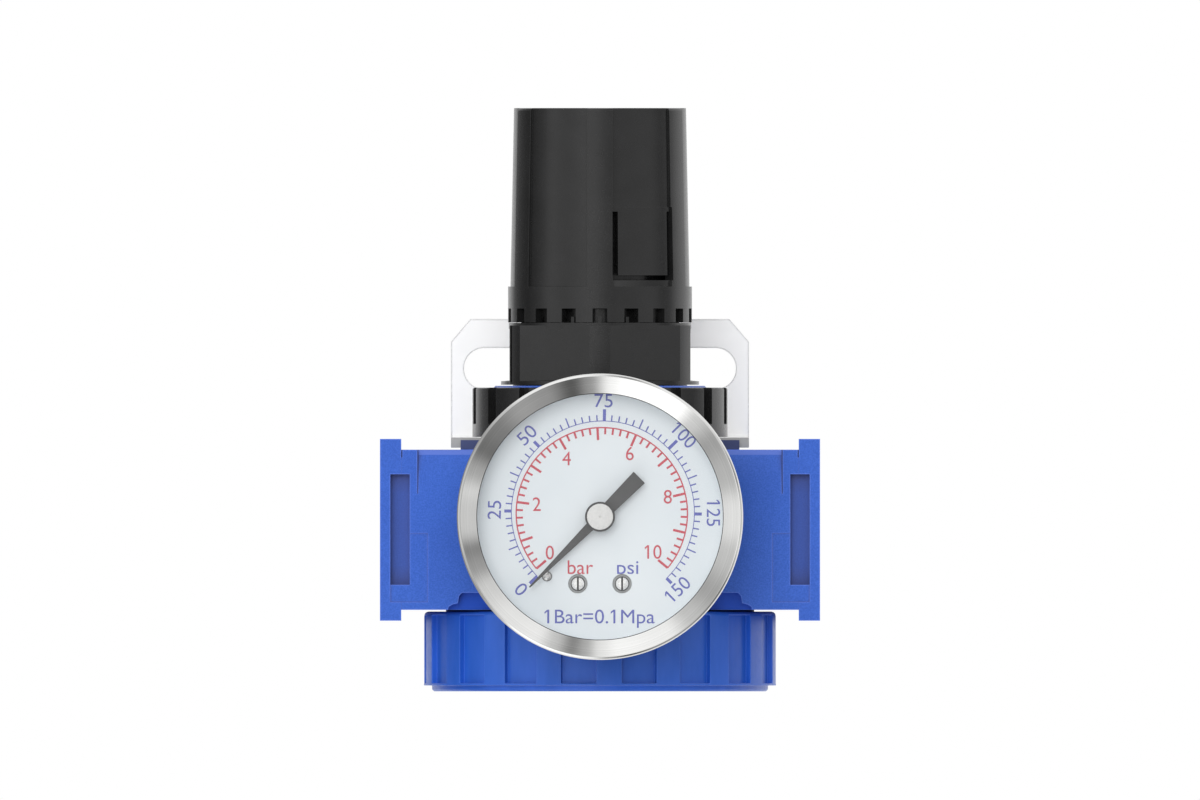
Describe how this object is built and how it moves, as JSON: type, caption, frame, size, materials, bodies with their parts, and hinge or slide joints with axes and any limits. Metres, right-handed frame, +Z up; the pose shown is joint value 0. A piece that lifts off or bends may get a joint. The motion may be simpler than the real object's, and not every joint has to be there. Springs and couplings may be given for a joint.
{
  "type": "air pressure regulator",
  "caption": "Compact compressed-air pressure regulator with a push-lock adjusting knob, panel ring nut, L-shaped wall bracket, side ports and a front-mounted dial gauge.",
  "frame": {"origin": "centre of the bottom cap's flat underside, on the knob axis", "axes": "+Z up along the knob axis, -Y towards the gauge's viewer, +X along the port axis to the outlet side"},
  "size_m": [0.0656, 0.0787, 0.0871],
  "materials": {
    "blue_casting": "fine-textured blue powder coat on a die casting",
    "blue_plastic": "moulded blue nylon, satin",
    "black_plastic": "moulded black acetal, satin",
    "zinc_steel": "bright zinc-plated sheet",
    "polished_steel": "turned and polished bezel",
    "spring_steel": "drawn wire and machined steel",
    "brass": "machined",
    "rubber": "moulded nitrile",
    "dial_white": "pale printed sheet",
    "pointer_grey": "dark grey painted sheet",
    "lens_clear": "clear polycarbonate"
  },
  "bodies": {
    "housing": {"body": "blue_casting", "bottom_cap": "blue_plastic", "cap_seal": "rubber", "valve_guide": "brass", "valve_spring": "spring_steel", "valve_seat": "brass", "bracket": "zinc_steel", "ring_nut": "black_plastic", "bonnet": "black_plastic", "main_spring": "spring_steel", "diaphragm": "rubber", "rear_port_plug": "brass", "plug_seal": "rubber", "gauge_socket": "brass", "gauge_seal": "rubber", "gauge_case": "black_plastic", "gauge_bezel": "polished_steel", "gauge_lens": "lens_clear", "gauge_dial": "dial_white", "dial_screw_left": "spring_steel", "dial_screw_right": "spring_steel", "stop_pin": "spring_steel", "bourdon_tube": "brass", "movement_rear_plate": "brass", "movement_front_plate": "brass"},
    "screw": {"adjusting_screw": "spring_steel", "retaining_clip": "spring_steel"},
    "knob": {"knob": "black_plastic"},
    "lock_tab": {"lock_tab": "black_plastic"},
    "spring_seat": {"spring_seat": "brass"},
    "diaphragm_stack": {"pressure_plate": "spring_steel", "relief_seat": "brass"},
    "valve": {"valve_poppet": "brass", "poppet_seal": "rubber"},
    "sector": {"sector_gear": "brass"},
    "link": {"movement_link": "brass"},
    "pointer": {"pointer": "pointer_grey", "pointer_spindle": "spring_steel"}
  },
  "joints": [
    {"name": "knob_turn", "type": "hinge", "parent": "housing", "child": "screw", "pos_m": [0, 0, 0.0778], "axis": [0, 0, -1], "range_deg": [0, 1800]},
    {"name": "knob_lift", "type": "slide", "parent": "screw", "child": "knob", "axis": [0, 0, 1], "range_m": [0, 0.0025]},
    {"name": "lock_tab_press", "type": "hinge", "parent": "knob", "child": "lock_tab", "pos_m": [0.00635, -0.01084, 0.07196], "axis": [0.8629, 0.5053, 0], "range_deg": [0, 6]},
    {"name": "spring_seat_travel", "type": "slide", "parent": "housing", "child": "spring_seat", "axis": [0, 0, -1], "range_m": [0, 0.005], "deforming": ["main_spring"]},
    {"name": "diaphragm_stroke", "type": "slide", "parent": "housing", "child": "diaphragm_stack", "axis": [0, 0, -1], "range_m": [0, 0.001], "deforming": ["diaphragm"]},
    {"name": "valve_stroke", "type": "slide", "parent": "housing", "child": "valve", "axis": [0, 0, -1], "range_m": [0, 0.001], "deforming": ["valve_spring"]},
    {"name": "sector_turn", "type": "hinge", "parent": "housing", "child": "sector", "pos_m": [0.0056, -0.0364, 0.02036], "axis": [0, -1, 0], "range_deg": [0, 30]},
    {"name": "link_turn", "type": "hinge", "parent": "sector", "child": "link", "pos_m": [0.008, -0.03845, 0.01796], "axis": [0, -1, 0], "range_deg": [-30, 0]},
    {"name": "pointer_turn", "type": "hinge", "parent": "housing", "child": "pointer", "pos_m": [0, -0.0463, 0.02606], "axis": [0, 1, 0], "range_deg": [0, 270]}
  ],
  "couplings": [
    {"joint": "spring_seat_travel", "follows": "knob_turn", "m_per_rad": 0.000159},
    {"joint": "valve_stroke", "follows": "diaphragm_stroke", "ratio": 1},
    {"joint": "pointer_turn", "follows": "sector_turn", "ratio": 9},
    {"joint": "link_turn", "follows": "sector_turn", "ratio": -1}
  ]
}
